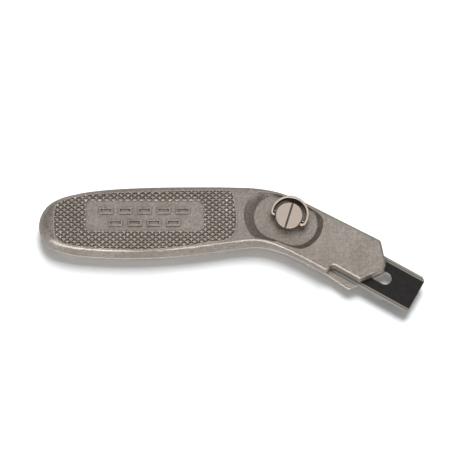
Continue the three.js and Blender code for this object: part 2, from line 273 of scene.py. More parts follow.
def half_thickness(x):
    return GRIP_HALF + (NOSE_HALF - GRIP_HALF) * smooth((x - GRIP_END) / (NOSE_START - GRIP_END))


def crown(x, y):
    """How far a casting's face lies under its middle line."""
    along = smooth((x - MIDDLE_LINE["from"]) / MIDDLE_LINE["length"])
    middle = MIDDLE_LINE["butt"] + MIDDLE_LINE["rise"] * along
    off_middle = min(CROWN["most"], abs(y - middle) / CROWN["half_width"]) ** CROWN["power"]
    return CROWN["fall"] * off_middle * (1 - smooth((x - CROWN["flat_from"]) / CROWN["fade"]))


def face_height(x, y):
    """Height of a casting's face above the parting plane, without the checkered pad."""
    step = PAD_RISE * (1 - smooth((x - PAD_FADE["from"]) / PAD_FADE["length"]))
    return half_thickness(x) - crown(x, y) - step


def prism(points, low, high):
    """A plan raised between two heights."""
    shape = bmesh.new()
    floor = shape.faces.new([shape.verts.new((x, y, low)) for x, y in points])
    raised = bmesh.ops.extrude_face_region(shape, geom=[floor])["geom"]
    lifted = [part for part in raised if isinstance(part, bmesh.types.BMVert)]
    bmesh.ops.translate(shape, vec=(0, 0, high - low), verts=lifted)
    bmesh.ops.recalc_face_normals(shape, faces=shape.faces)
    return shape


def drum(radius, low, high, place=(0, 0), sides=48, top_radius=None):
    """An upright cylinder or cone between two heights."""
    shape = bmesh.new()
    bmesh.ops.create_cone(
        shape, cap_ends=True, segments=sides, radius1=radius, radius2=top_radius or radius,
        depth=high - low, matrix=Matrix.Translation((place[0], place[1], (low + high) / 2)),
    )
    return shape


def block(low, high, edge=0):
    """A box between two corners, with its edges rounded a little if asked."""
    low, high = Vector(low), Vector(high)
    shape = bmesh.new()
    place = Matrix.Translation((low + high) / 2) @ Matrix.Diagonal((*(high - low), 1))
    bmesh.ops.create_cube(shape, size=1, matrix=place)
    if edge:
        bmesh.ops.bevel(
            shape, geom=shape.edges[:], offset=edge, segments=2, profile=0.5, affect="EDGES",
            clamp_overlap=True, material=-1,
        )
    return shape


def together(*shapes):
    """Several separate shapes as one, such as the tools of one cut."""
    whole = bmesh.new()
    for shape in shapes:
        mesh = bpy.data.meshes.new("part")
        shape.to_mesh(mesh)
        shape.free()
        whole.from_mesh(mesh)
        bpy.data.meshes.remove(mesh)
    return whole


def as_object(name, shape):
    mesh = bpy.data.meshes.new(name)
    shape.to_mesh(mesh)
    shape.free()
    made = bpy.data.objects.new(name, mesh)
    scene.collection.objects.link(made)
    return made


def work(piece, operation, shape):
    """Cuts a shape from a piece, joins it on, or keeps only what they share."""
    tool = as_object("tool", shape)
    step = piece.modifiers.new("step", "BOOLEAN")
    step.object = tool
    step.operation = operation
    step.solver = "MANIFOLD"
    bpy.context.view_layer.update()
    finished = piece.evaluated_get(bpy.context.evaluated_depsgraph_get())
    worked = bpy.data.meshes.new_from_object(finished)
    piece.modifiers.clear()
    old, piece.data = piece.data, worked
    bpy.data.meshes.remove(old)
    bpy.data.meshes.remove(tool.data)
    return piece


SLIVER = 0.003  # edges shorter than this are left over from the cuts and are closed up


def settle(piece, body, material, replaced, sharp=35):
    """Cleans a finished piece, puts it in its place in the frame and hides the CAD parts it stands
    for.
    """
    shape = bmesh.new()
    shape.from_mesh(piece.data)
    bmesh.ops.triangulate(shape, faces=shape.faces)
    bmesh.ops.dissolve_degenerate(shape, edges=shape.edges, dist=SLIVER)
    bmesh.ops.recalc_face_normals(shape, faces=shape.faces)
    bmesh.ops.transform(shape, matrix=TO_FRAME, verts=shape.verts)
    for face in shape.faces:
        face.smooth = True
        face.material_index = 0
    name = piece.name
    shape.to_mesh(piece.data)
    shape.free()
    piece.data.name = name
    piece.data.set_sharp_from_angle(angle=radians(sharp))
    piece.data.materials.clear()
    piece.data.materials.append(material)
    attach(piece, body)
    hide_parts(*replaced)


PARTING_CHAMFER = 0.3
SIDE_RINGS = 6
SLICING_HEIGHT = 20  # a top that is to be shaped is flat at this height while it is sliced
SLICE = 1.5
FIRST_SLICE = 0.37  # of a slice, so that no cut falls on a corner
SLICED = ((-118, 46), (-34, 17))  # along and across


def draped(shape, height):
    """Slices the flat top of a shape finely and brings it to the height at each place."""
    for axis, (low, high) in enumerate(SLICED):
        for i in range(int((high - low) / SLICE)):
            plane = Vector((0, 0, 0))
            plane[axis] = low + (i + FIRST_SLICE) * SLICE
            tops = [f for f in shape.faces if all(v.co.z == SLICING_HEIGHT for v in f.verts)]
            near = {part for f in tops for part in (f, *f.edges, *f.verts)}
            bmesh.ops.bisect_plane(
                shape, geom=list(near), dist=1e-4, plane_co=plane,
                plane_no=(1, 0, 0) if axis == 0 else (0, 1, 0),
            )
    for vert in shape.verts:
        if vert.co.z == SLICING_HEIGHT:
            vert.co.z = height(vert.co.x, vert.co.y)
    bmesh.ops.recalc_face_normals(shape, faces=shape.faces)
    return shape


def blank(points, side):
    """A solid casting over its plan, from the parting plane up to its crowned face. Its sides
    draw in by the draft and then round over, widely at the butt and tightly at the nose."""
    shape = bmesh.new()
    corner = shape.verts.layers.int.new("corner")
    ways = inward(points)
    rim = [point + PARTING_CHAMFER * way for point, way in zip(points, ways)]
    verts = [shape.verts.new((*point, 0)) for point in rim]
    for i, vert in enumerate(verts):
        vert[corner] = i
    face = shape.faces.new(verts)
    floor = face
    for ring in range(-1, SIDE_RINGS + 1):
        raised = bmesh.ops.extrude_face_region(shape, geom=[face])["geom"]
        if face is not floor:
            bmesh.ops.delete(shape, geom=[face], context="FACES_ONLY")
        face = next(part for part in raised if isinstance(part, bmesh.types.BMFace))
        turn = pi / 2 * ring / SIDE_RINGS
        for vert in face.verts:
            point, way = points[vert[corner]], ways[vert[corner]]
            nose = smooth((point.x - GRIP_END) / (NOSE_START - GRIP_END))
            butt = smooth(way.x) if point.x < BUTT_END else 0
            belly = smooth(0.5 + way.y)
            lean, drop, draft = (
                (spine + belly * (low - spine)) * (1 - nose) + at_nose * nose
                for spine, low, at_nose in zip(side["spine"], side["belly"], side["nose"])
            )
            draft *= 1 - butt
            lean += butt * (BUTT_ROUND - lean)
            top = face_height(*(point + (lean + draft) * way))
            drop += butt * (top - side["land"] - drop)
            height = top - drop * (1 - sin(turn))
            place = point + (lean * (1 - cos(turn)) + draft * height / top) * way
            height = SLICING_HEIGHT if ring == SIDE_RINGS else height
            vert.co = (place.x, place.y, height) if ring >= 0 else (*point, PARTING_CHAMFER)
    return draped(shape, face_height)


def checkered_pad():
    """The raised pad of the grip, cut into rows of pointed diamonds inside a plain frame."""
    length, width = DIAMOND
    x, y = LATTICE["middle"]
    lattice = bmesh.new()
    rows = LATTICE["rows"]
    bmesh.ops.create_grid(lattice, x_segments=rows, y_segments=rows, size=rows / 2)
    slant = Matrix((
        (length / 2, length / 2, 0, x),
        (width / 2, -width / 2, 0, y),
        (0, 0, 1, 0),
        (0, 0, 0, 1),
    ))
    bmesh.ops.transform(lattice, matrix=slant, verts=lattice.verts)
    x_reach, y_reach = LATTICE["reach"]
    far = [v for v in lattice.verts if abs(v.co.x - x) > x_reach or abs(v.co.y - y) > y_reach]
    bmesh.ops.delete(lattice, geom=far, context="VERTS")
    lattice.normal_update()
    if lattice.faces[:][0].normal.z < 0:
        bmesh.ops.reverse_faces(lattice, faces=lattice.faces)
    bmesh.ops.inset_individual(
        lattice, faces=lattice.faces[:], thickness=DIAMOND_SLOPE, depth=DIAMOND_CUT,
    )
    for vert in lattice.verts:
        vert.co.z += half_thickness(vert.co.x) - crown(vert.co.x, vert.co.y) - DIAMOND_CUT
    under = bmesh.ops.extrude_face_region(lattice, geom=lattice.faces[:])["geom"]
    for vert in (part for part in under if isinstance(part, bmesh.types.BMVert)):
        vert.co.z = GRIP_HALF - PAD_ROOT["lattice"]
    bmesh.ops.recalc_face_normals(lattice, faces=lattice.faces)
    plan = spline(PAD + PAD[:1], 5)[:-1]
    low, high = GRIP_HALF - PAD_ROOT["frame"], GRIP_HALF + 2 * PAST
    checkered = prism(drawn_in(plan, PAD_FRAME["width"] / 2), low, high)
    pad = work(as_object("pad", lattice), "INTERSECT", checkered)
    frame_top = draped(
        prism(plan, low, SLICING_HEIGHT),
        lambda x, y: half_thickness(x) - crown(x, y) - PAD_FRAME["drop"],
    )
    within = prism(drawn_in(plan, PAD_FRAME["width"]), low - PAST, high)
    pad_frame = work(as_object("pad_frame", frame_top), "DIFFERENCE", within)
    return work(pad, "UNION", taken(pad_frame))


def taken(piece):
    """The shape of a piece that was only needed to make another."""
    shape = bmesh.new()
    shape.from_mesh(piece.data)
    bpy.data.meshes.remove(piece.data)
    return shape


def plate_plan():
    """Rounded rectangle of the plate that is sunk in the grip."""
    x, y = PLATE["length"] / 2 - PLATE["corner"], PLATE["width"] / 2 - PLATE["corner"]
    points = []
    steps = 6
    for quarter, (cx, cy) in enumerate([(x, y), (-x, y), (-x, -y), (x, -y)]):
        for step in range(steps + 1):
            turn = pi / 2 * (quarter + step / steps)
            points.append(Vector((
                PLATE["x"] + cx + PLATE["corner"] * cos(turn),
                PLATE["y"] + cy + PLATE["corner"] * sin(turn),
            )))
    return points


def bars():
    """Plain raised bars with sunk middles on the plate, in two rows."""
    floor = GRIP_HALF - PLATE["depth"]
    made = []
    for count, row in BAR_ROWS:
        for i in range(count):
            x = PLATE["x"] + (i - (count - 1) / 2) * BAR["pitch"]
            y = PLATE["y"] + row
            low = (x - BAR["length"] / 2, y - BAR["width"] / 2, floor - PAST)
            high = (x + BAR["length"] / 2, y + BAR["width"] / 2, floor + BAR["height"])
            bar = block(low, high, BAR["round"])
            top = max((f for f in bar.faces if f.normal.z > 0.9), key=lambda f: f.calc_area())
            bmesh.ops.inset_region(bar, faces=[top], thickness=BAR["frame"], depth=0)
            bmesh.ops.inset_region(bar, faces=[top], thickness=BAR["round"], depth=-BAR["sunk"])
            made.append(bar)
    return together(*made)


def hollow(points):
    """What the grip is hollowed by, on one side of the parting plane, between its cross ribs."""
    inner = drawn_in(points, CAVITY_WALL)
    starts = (CAVITY_REACH[0], *(rib + CROSS_RIB for rib in CROSS_RIBS))
    ends = (*CROSS_RIBS, CAVITY_REACH[1])
    rooms = []
    for start, end in zip(starts, ends):
        room = prism(inner, -PAST, CAVITY_DEPTH)
        for x, away in ((start, -1), (end, 1)):
            cut = bmesh.ops.bisect_plane(
                room, geom=room.verts[:] + room.edges[:] + room.faces[:],
                plane_co=(x, 0, 0), plane_no=(away, 0, 0), clear_outer=True,
            )
            rim = [part for part in cut["geom_cut"] if isinstance(part, bmesh.types.BMEdge)]
            bmesh.ops.edgeloop_fill(room, edges=rim)
        bmesh.ops.recalc_face_normals(room, faces=room.faces)
        rooms.append(room)
    return together(*rooms)


def grip_face(piece):
    """The pad, the sunk plate and its bars, which both castings have."""
    work(piece, "UNION", taken(checkered_pad()))
    plate = prism(plate_plan(), GRIP_HALF - PLATE["depth"], GRIP_HALF + 2 * PAST)
    work(piece, "DIFFERENCE", plate)
    work(piece, "UNION", bars())


def surface(name, metallic):
    """A new material with its shader, and a builder for its other nodes."""
    material = bpy.data.materials.new(name)
    material.use_nodes = True
    shader = material.node_tree.nodes["Principled BSDF"]
    shader.inputs["Metallic"].default_value = metallic
    return material, shader, node_builder(material)


def ramp(node, factor, stops):
    """A colour ramp: stops are (place, colour)."""
    made = node("ValToRGB", {"Fac": factor})
    elements = made.color_ramp.elements
    for i, (place, colour) in enumerate(stops):
        element = elements[i] if i < 2 else elements.new(place)
        element.position = place
        element.color = (*colour, 1)
    return made.outputs["Color"]


def blended(node, how, share, under, over):
    """Two colours mixed or multiplied: each is a node's output or a fixed colour."""
    made = node("Mix", {0: share, 6: under, 7: over}, data_type="RGBA", blend_type=how)
    return made.outputs[2]


def cast_metal():
    """Tumbled casting: satin and faintly mottled, painted shade in its grooves, and edges lightened
    as polished wear and partly as a painted highlight.
    """
    material, shader, node = surface("tumbled_casting", 0.9)
    link = material.node_tree.links.new
    place = node("TexCoord").outputs["Object"]
    cloud = node("TexNoise", {
        "Vector": place, "Scale": 90, "Detail": 4, "Roughness": 0.6,
    }).outputs["Fac"]
    grain = node("TexNoise", {
        "Vector": place, "Scale": 900, "Detail": 7, "Roughness": 0.75,
    }).outputs["Fac"]
    pits = node("TexVoronoi", {"Vector": place, "Scale": 1500}).outputs["Distance"]

    tint = ramp(node, cloud, [(0.3, (0.34, 0.305, 0.275)), (0.7, (0.41, 0.375, 0.34))])
    speck = ramp(node, grain, [(0.36, (0.62, 0.61, 0.6)), (0.64, (1.22, 1.21, 1.2))])
    metal = blended(node, "MULTIPLY", 1.0, tint, speck)
    # Painted shade: ambient occlusion darkens the casting's grooves, recesses and crevices.
    groove = node("AmbientOcclusion", {"Distance": 0.0012}, samples=6, only_local=True)
    painted_groove_shade = ramp(node, groove.outputs["AO"], [(0.2, (0.2, 0.17, 0.145)), (0.8, (1, 1, 1))])
    casting_with_painted_shade = blended(node, "MULTIPLY", 1.0, metal, painted_groove_shade)
    # Lightened edges: polished wear from the tumbling, and partly a painted highlight found by
    # occlusion inside the edges.
    rim = node("AmbientOcclusion", {"Distance": 0.0006}, samples=6, inside=True, only_local=True)
    worn = node("MapRange", {
        "Value": rim.outputs["AO"], "From Min": 0.3, "From Max": 0.62, "To Min": 1.0, "To Max": 0.0,
    }).outputs[0]
    link(blended(node, "MIX", worn, casting_with_painted_shade, (0.78, 0.73, 0.68, 1)), shader.inputs["Base Color"])

    rough = node("MapRange", {
        "Value": grain, "From Min": 0.3, "From Max": 0.7, "To Min": 0.36, "To Max": 0.52,
    })
    link(rough.outputs[0], shader.inputs["Roughness"])
    soft = node("Bevel", {"Radius": 0.00012}, samples=6).outputs["Normal"]
    relief = node("Bump", {
        "Height": grain, "Strength": 0.5, "Distance": 0.0002, "Normal": soft,
    }).outputs["Normal"]
    pitted = node("Bump", {
        "Height": pits, "Strength": 0.25, "Distance": 0.0001, "Normal": relief,
    })
    link(pitted.outputs["Normal"], shader.inputs["Normal"])
    return material


CASTING = cast_metal()
UPSIDE_DOWN = Matrix.Diagonal((1, 1, -1, 1))

base_plan = outline(BASE_FRONT, {1: 1.2, 2: 0.8, 3: 0.8})
base = as_object("lower_casting", blank(base_plan, BASE_SIDE))
grip_face(base)
base.data.transform(UPSIDE_DOWN)
base.data.flip_normals()

base_hollow = hollow(outline(BASE_FRONT))
bmesh.ops.transform(base_hollow, matrix=UPSIDE_DOWN, verts=base_hollow.verts)
bmesh.ops.reverse_faces(base_hollow, faces=base_hollow.faces)
work(base, "DIFFERENCE", base_hollow)
store_walls = []
for wall_y in (STORE["y"] - STORE["width"] / 2 - STORE["wall"], STORE["y"] + STORE["width"] / 2):
    reach = STORE["length"] / 2 + PAST
    store_walls.append(block(
        (STORE["x"] - reach, wall_y, -CAVITY_DEPTH - STORE["root"]),
        (STORE["x"] + reach, wall_y + STORE["wall"], -STORE["below_parting"]),
    ))
work(base, "UNION", together(*store_walls))
seat_half = (BLADE["length"] / 2 + SEAT["play"], BLADE["width"] / 2 + SEAT["play"])
seat = block((-seat_half[0], -seat_half[1], -SEAT["depth"]), (seat_half[0], seat_half[1], PAST))
bmesh.ops.transform(seat, matrix=ALONG_BLADE, verts=seat.verts)
work(base, "DIFFERENCE", seat)
pocket_radius = (INSERT["across"] / 2 + INSERT["fit"]) / cos(pi / 6)
pocket_floor = INSERT["top"] - INSERT["depth"] - INSERT["fit"]
post_bores = [
    drum(POST["radius"] + POST["fit"], -POST["depth"] - POST["fit"], PAST, place)
    for place in POST_PLACES
]
insert_pocket = drum(pocket_radius, pocket_floor, PAST, sides=6)
work(base, "DIFFERENCE", together(insert_pocket, *post_bores))
settle(base, "base", CASTING, ["bottom_shell"])

# ---------------------------------------------------------------------------
# Threaded insert, a brass hexagon pressed into the lower casting just under the parting plane.
# The clamp screw turns in it.
def brass():
    """Machined brass with fine turning marks and a few dark stains."""
    material, shader, node = surface("machined_brass", 1.0)
    link = material.node_tree.links.new
    place = node("TexCoord").outputs["Object"]
    stain = node("TexNoise", {"Vector": place, "Scale": 350, "Detail": 4}).outputs["Fac"]
    colour = ramp(node, stain, [(0.3, (0.42, 0.29, 0.11)), (0.65, (0.68, 0.5, 0.22))])
    link(colour, shader.inputs["Base Color"])
    shader.inputs["Roughness"].default_value = 0.32
    fine = node("TexNoise", {"Vector": place, "Scale": 4000, "Detail": 2}).outputs["Fac"]
    marks = node("Bump", {"Height": fine, "Strength": 0.2, "Distance": 0.00005})
    link(marks.outputs["Normal"], shader.inputs["Normal"])
    return material


INSERT_EDGE = 0.25
FLARE = {"inner": 0.1, "outer": 0.5, "depth": 0.5, "proud": 0.1}  # past the bore and the top
insert_top, insert_bottom = INSERT["top"], INSERT["top"] - INSERT["depth"]
insert_shape = drum(INSERT["across"] / 2 / cos(pi / 6), insert_bottom, insert_top, sides=6)
bmesh.ops.bevel(
    insert_shape, geom=insert_shape.edges[:], offset=INSERT_EDGE, segments=2, profile=0.5,
    affect="EDGES", clamp_overlap=True, material=-1,
)
insert = as_object("threaded_insert_fine", insert_shape)
work(insert, "DIFFERENCE", drum(INSERT["bore"], insert_bottom - PAST, insert_top + PAST))
flare = drum(
    INSERT["bore"] - FLARE["inner"], insert_top - FLARE["depth"], insert_top + FLARE["proud"],
    top_radius=INSERT["bore"] + FLARE["outer"],
)
work(insert, "DIFFERENCE", flare)
settle(insert, "base", brass(), ["threaded_insert"])

# ---------------------------------------------------------------------------
# Two turned steel posts, pressed into the lower casting. They stand through the blade's slot
# and keep the blade from sliding.
def turned_steel():
    """Plain steel with fine marks from the lathe."""
    material, shader, node = surface("turned_steel", 1.0)
    link = material.node_tree.links.new
    place = node("TexCoord").outputs["Object"]
    tone = node("TexNoise", {"Vector": place, "Scale": 300, "Detail": 3}).outputs["Fac"]
    colour = ramp(node, tone, [(0.3, (0.42, 0.40, 0.38)), (0.7, (0.62, 0.6, 0.57))])
    link(colour, shader.inputs["Base Color"])
    layers = node("Mapping", {"Vector": place, "Scale": (300, 300, 9000)}).outputs["Vector"]
    lathe = node("TexNoise", {"Vector": layers, "Scale": 1, "Detail": 2}).outputs["Fac"]
    rough = node("MapRange", {"Value": lathe, "To Min": 0.25, "To Max": 0.42})
    link(rough.outputs[0], shader.inputs["Roughness"])
    marks = node("Bump", {"Height": lathe, "Strength": 0.3, "Distance": 0.00004})
    link(marks.outputs["Normal"], shader.inputs["Normal"])
    return material


PLAIN_STEEL = turned_steel()


def turned(profile, steps=96):
    """A solid turned about the screw's axis. The profile is (radius, height), pole to pole."""
    shape = bmesh.new()
    verts = [shape.verts.new((radius, 0, height)) for radius, height in profile]
    edges = [shape.edges.new(pair) for pair in zip(verts, verts[1:])]
    bmesh.ops.spin(
        shape, geom=verts + edges, cent=(0, 0, 0), axis=(0, 0, 1), angle=2 * pi, steps=steps,
        use_merge=True,
    )
    bmesh.ops.remove_doubles(shape, verts=shape.verts, dist=1e-4)
    bmesh.ops.recalc_face_normals(shape, faces=shape.faces)
    return shape


POST_RIM = 0.4
for post_name, node_name, place in zip(
    ("rear_post", "front_post"), ("blade_post_rear", "blade_post_front"), POST_PLACES,
):
    radius, low, high = POST["radius"], -POST["depth"], POST["height"]
    post_shape = turned([
        (0, low), (radius - POST_RIM, low), (radius, low + POST_RIM),
        (radius, high - POST_RIM), (radius - POST_RIM, high), (0, high),
    ], 40)
    bmesh.ops.translate(post_shape, vec=place, verts=post_shape.verts)
    settle(as_object(post_name, post_shape), "base", PLAIN_STEEL, [node_name])

# ---------------------------------------------------------------------------
# Blades, blackened steel strip with both long edges ground bright from both sides. One is
# clamped in the nose and five spares lie in the grip.
# Metres from the blade's middle line, over which each part of the ground edge begins
GROUND = {"bevel": (0.00735, 0.0075), "line": (0.0081, 0.0082), "keen": (0.0084, 0.0085)}


def blade_steel(name, centre, angle):
    """Blackened faces, and two-tone ground edges with grinding marks across them."""
    material, shader, node = surface(name, 0.75)
    link = material.node_tree.links.new
    place = node("TexCoord").outputs["Object"]
    flat = node("Mapping", {
        "Vector": place, "Location": centre, "Rotation": (0, 0, angle),
    }, vector_type="TEXTURE").outputs["Vector"]
    axes = node("SeparateXYZ", {"Vector": flat})
    across = node("Math", {0: axes.outputs["Y"]}, operation="ABSOLUTE").outputs[0]
    ground, line, keen = (
        node("MapRange", {"Value": across, "From Min": near, "From Max": far}).outputs[0]
        for near, far in GROUND.values()
    )
    cloud = node("TexNoise", {
        "Vector": flat, "Scale": 260, "Detail": 5, "Roughness": 0.7,
    }).outputs["Fac"]
    lines = node("Mapping", {"Vector": flat, "Scale": (9000, 350, 350)}).outputs["Vector"]
    grind = node("TexNoise", {"Vector": lines, "Scale": 1, "Detail": 3}).outputs["Fac"]

    black = ramp(node, cloud, [(0.3, (0.012, 0.0115, 0.0115)), (0.75, (0.03, 0.028, 0.027))])
    bright = ramp(node, grind, [(0.3, (0.22, 0.19, 0.155)), (0.7, (0.34, 0.30, 0.255))])
    scored = blended(node, "MIX", line, bright, (0.1, 0.085, 0.07, 1))
    whetted = blended(node, "MIX", keen, scored, (0.38, 0.37, 0.36, 1))
    colour = blended(node, "MIX", ground, black, whetted)
    # Painted shade: ambient occlusion darkens the blade where the castings' walls stand over it.
    shade = node("AmbientOcclusion", {"Distance": 0.004}, samples=6).outputs["AO"]
    painted_shade_near_cover = ramp(node, shade, [(0.3, (0.08, 0.07, 0.06)), (0.75, (1, 1, 1))])
    link(blended(node, "MULTIPLY", 1.0, colour, painted_shade_near_cover), shader.inputs["Base Color"])

    rough = node("MapRange", {"Value": cloud, "To Min": 0.34, "To Max": 0.52})
    link(rough.outputs[0], shader.inputs["Roughness"])
    relief = node("Bump", {
        "Height": grind, "Strength": 0.25, "Distance": 0.00004,
    }).outputs["Normal"]
    worn = node("Bump", {"Height": cloud, "Strength": 0.1, "Distance": 0.0001, "Normal": relief})
    link(worn.outputs["Normal"], shader.inputs["Normal"])
    return material


def dress(node_name, material):
    """A CAD node that stays as it is, in a better finish."""
    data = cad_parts[node_name].data
    data.materials.clear()
    data.materials.append(material)


SPARE_BLADES = 5
blade_centre = TO_FRAME @ BLADE["middle"]
dress("cutting_blade", blade_steel("cutting_blade_steel", blade_centre, BLADE["angle"]))
store_low, store_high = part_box("spare_blade_1")
spare_steel = blade_steel("spare_blade_steel", (store_low + store_high) / 2, 0)
for i in range(1, SPARE_BLADES + 1):
    dress(f"spare_blade_{i}", spare_steel)

# ---------------------------------------------------------------------------
# Upper casting, of the same metal as the lower. It is dished round the screw, notched over the
# ledge at the nose, and a lug behind its hollow hooks it to the lower casting's rear rib.
COVER_FRONT = [(17.9, -26.2), (19.8, -22.4), (32.8, -29.9), (44.2, -24.8), (NOSE_TIP, -22.4)]
COVER_SIDE = {
    "spine": (1.8, 2.6, 0), "belly": (0.9, 1.2, 1.6), "nose": (1.1, 1.1, 0.35), "land": 0.4,
}
DISH = {
    "radius": 10.7, "rear": (-5.6, 1), "front": (2.7, -2.2), "floor": 3.8, "rise": 5, "run": 6.5,
    "floor_edge": 0.35, "rim": 1.3, "corner": 2.2, "margin": 0.2, "sides": 120, "reach": 200,
}
WALL_MIDDLE = 13  # from an end of the dish to the middle of its wall
HANDLE_MIDDLE = -60  # only the plan in front of this bounds the dish
SAME = 1e-4  # two heights closer than this are the same
LUG = {"thickness": 2.4, "half": 4, "drop": 2, "gap": 0.35, "edge": 0.3}
SHANK_HOLE = 3.3


def dish():
    """Round-ended recess with a flat floor and sloping walls, kept inside the casting's rim."""
    shape = drum(
        DISH["radius"], DISH["floor"], DISH["floor"] + DISH["rise"], sides=96,
        top_radius=DISH["radius"] + DISH["run"],
    )
    rear, front = Vector(DISH["rear"]), Vector(DISH["front"])
    for vert in shape.verts:
        end = front if (front - rear).dot(vert.co.xy) > 0 else rear
        vert.co.xy += end
    floor_edges = [
        edge for edge in shape.edges
        if all(abs(vert.co.z - DISH["floor"]) < SAME for vert in edge.verts)
    ]
    bmesh.ops.bevel(
        shape, geom=floor_edges, offset=DISH["floor_edge"], segments=3, profile=0.5,
        affect="EDGES", material=-1,
    )
    inside = [p for p in drawn_in(outline(COVER_FRONT), DISH["rim"]) if p.x > HANDLE_MIDDLE]
    centre = (rear + front) / 2
    plan = []
    for step in range(DISH["sides"]):
        turn = 2 * pi * step / DISH["sides"]
        ray = Vector((cos(turn), sin(turn)))
        to_rim = min(
            (hit - centre).length
            for a, b in zip(inside, inside[1:] + inside[:1])
            if (hit := intersect_line_line_2d(centre, centre + DISH["reach"] * ray, a, b))
        )
        end = front if (front - rear).dot(ray) > 0 else rear
        depth = face_height(*(end + WALL_MIDDLE * ray)) - DISH["floor"]
        edge_radius = DISH["radius"] + DISH["run"] * depth / DISH["rise"]
        along = (end - centre).dot(ray)
        aside = ((end - centre) - along * ray).length
        to_edge = along + (edge_radius**2 - aside**2) ** 0.5 + DISH["margin"]
        soft = DISH["corner"]
        plan.append(centre - ray * soft * log(exp(-to_rim / soft) + exp(-to_edge / soft)))
    column = prism(plan, DISH["floor"] - 2 * PAST, DISH["floor"] + DISH["rise"] + 2 * PAST)
    return taken(work(as_object("dish", shape), "INTERSECT", column))


cover_plan = outline(COVER_FRONT, {0: 2, 1: 1.8, 2: 1.0, 3: 1.3, 4: 1.3, 5: 1.0})
cover = as_object("upper_casting", blank(cover_plan, COVER_SIDE))
grip_face(cover)
work(cover, "DIFFERENCE", dish())
loose_bores = [
    drum(POST["radius"] + POST["free"], -PAST, POST["height"] + POST["free"], place)
    for place in POST_PLACES
]
shank_bore = drum(SHANK_HOLE, -PAST, GRIP_HALF + 2 * PAST)
work(cover, "DIFFERENCE", together(hollow(outline(COVER_FRONT)), shank_bore, *loose_bores))
lug_front = CROSS_RIBS[0] - LUG["gap"]
work(cover, "UNION", block(
    (lug_front - LUG["thickness"], STORE["y"] - LUG["half"], -LUG["drop"]),
    (lug_front, STORE["y"] + LUG["half"], CAVITY_DEPTH + PAST), LUG["edge"],
))
settle(cover, "cover", CASTING, ["top_shell"])

# ---------------------------------------------------------------------------
# Washer, turned steel. It lies on the floor of the dish and is held under the screw's head, so
# that it rises with it.
WASHER = {"inner": 3.2, "outer": 5.9, "gap": 0.03, "thickness": 0.8, "rim": 0.12}
low = DISH["floor"] + WASHER["gap"]
high, rim = low + WASHER["thickness"], WASHER["rim"]
washer_profile = [
    (WASHER["inner"], low), (WASHER["outer"] - rim, low), (WASHER["outer"], low + rim),
    (WASHER["outer"], high - rim), (WASHER["outer"] - rim, high), (WASHER["inner"], high),
    (WASHER["inner"], low),
]
washer = as_object("head_washer", turned(washer_profile))
settle(washer, "washer", PLAIN_STEEL, ["clamp_washer"])

# ---------------------------------------------------------------------------
# Clamp screw, turned steel with a satin nickel plate: slotted head, ribbed rim, threaded shank.
# It holds the two castings together and clamps the blade between them.
HEAD = {"radius": 6.45, "bottom": 4.7, "top": 10.5, "chamfer": 0.35}
SLOT = {"width": 0.9, "depth": 0.9, "angle": radians(-17)}
SHANK = {
    "radius": 2.95, "bottom": -4.6, "pitch": 1.0, "thread": 0.35, "neck": 0.2, "neck_length": 1.4,
    "point": 0.5, "plain_end": 0.6,
}
KNURL = {"ribs": 60, "depth": 0.22}
ON_RIM = 1e-3  # a point of the head nearer than this to its radius is on its rim
# Metres under the head's face at which the painted shade starts and is full, its share and its colour
PAINTED_SHADE_BELOW_FACE = {"starts": 0.0003, "full": 0.0009, "share": 0.75, "colour": (0.1, 0.078, 0.062, 1)}


def plated_steel(name, tone, roughness, centre):
    """Warm nickel plate over turned steel, with fine rings about the centre. Painted shade darkens
    its crevices and everything below the level of the head's face."""
    material, shader, node = surface(name, 1.0)
    link = material.node_tree.links.new
    place = node("TexCoord").outputs["Object"]
    from_axis = node("Mapping", {"Vector": place, "Location": centre}, vector_type="TEXTURE")
    rings = node("TexWave", {
        "Vector": from_axis.outputs["Vector"], "Scale": 900, "Distortion": 1.5, "Detail": 2,
        "Detail Scale": 3,
    }, wave_type="RINGS", rings_direction="Z").outputs["Fac"]
    haze = node("TexNoise", {
        "Vector": place, "Scale": 420, "Detail": 5, "Roughness": 0.6,
    }).outputs["Fac"]

    darker = tuple(0.8 * part for part in tone)
    plate_tone = ramp(node, haze, [(0.3, darker), (0.7, tone)])
    # Painted shade: ambient occlusion darkens the crevices, such as the ring's inner wall.
    crease = node("AmbientOcclusion", {"Distance": 0.0025}, samples=6).outputs["AO"]
    painted_crease_shade = ramp(node, crease, [(0.3, (0.14, 0.1, 0.075)), (0.9, (1, 1, 1))])
    plate_with_painted_shade = blended(node, "MULTIPLY", 0.8, plate_tone, painted_crease_shade)
    # Painted shade: everything lower than the head's face, its side wall and the ring below it, is
    # darkened.
    head_face = (TO_FRAME @ Vector((0, 0, HEAD["top"]))).z
    below = node("MapRange", {
        "Value": node("SeparateXYZ", {"Vector": place}).outputs["Z"],
        "From Min": head_face - PAINTED_SHADE_BELOW_FACE["full"], "From Max": head_face - PAINTED_SHADE_BELOW_FACE["starts"],
        "To Min": PAINTED_SHADE_BELOW_FACE["share"], "To Max": 0,
    }).outputs[0]
    link(blended(node, "MIX", below, plate_with_painted_shade, PAINTED_SHADE_BELOW_FACE["colour"]), shader.inputs["Base Color"])

    smoothest, roughest = roughness
    rough = node("MapRange", {
        "Value": haze, "From Min": 0.3, "From Max": 0.7, "To Min": smoothest, "To Max": roughest,
    })
    link(rough.outputs[0], shader.inputs["Roughness"])
    soft = node("Bevel", {"Radius": 0.00015}, samples=6).outputs["Normal"]
    marks = node("Bump", {"Height": rings, "Strength": 0.12, "Distance": 0.00003, "Normal": soft})
    link(marks.outputs["Normal"], shader.inputs["Normal"])
    return material


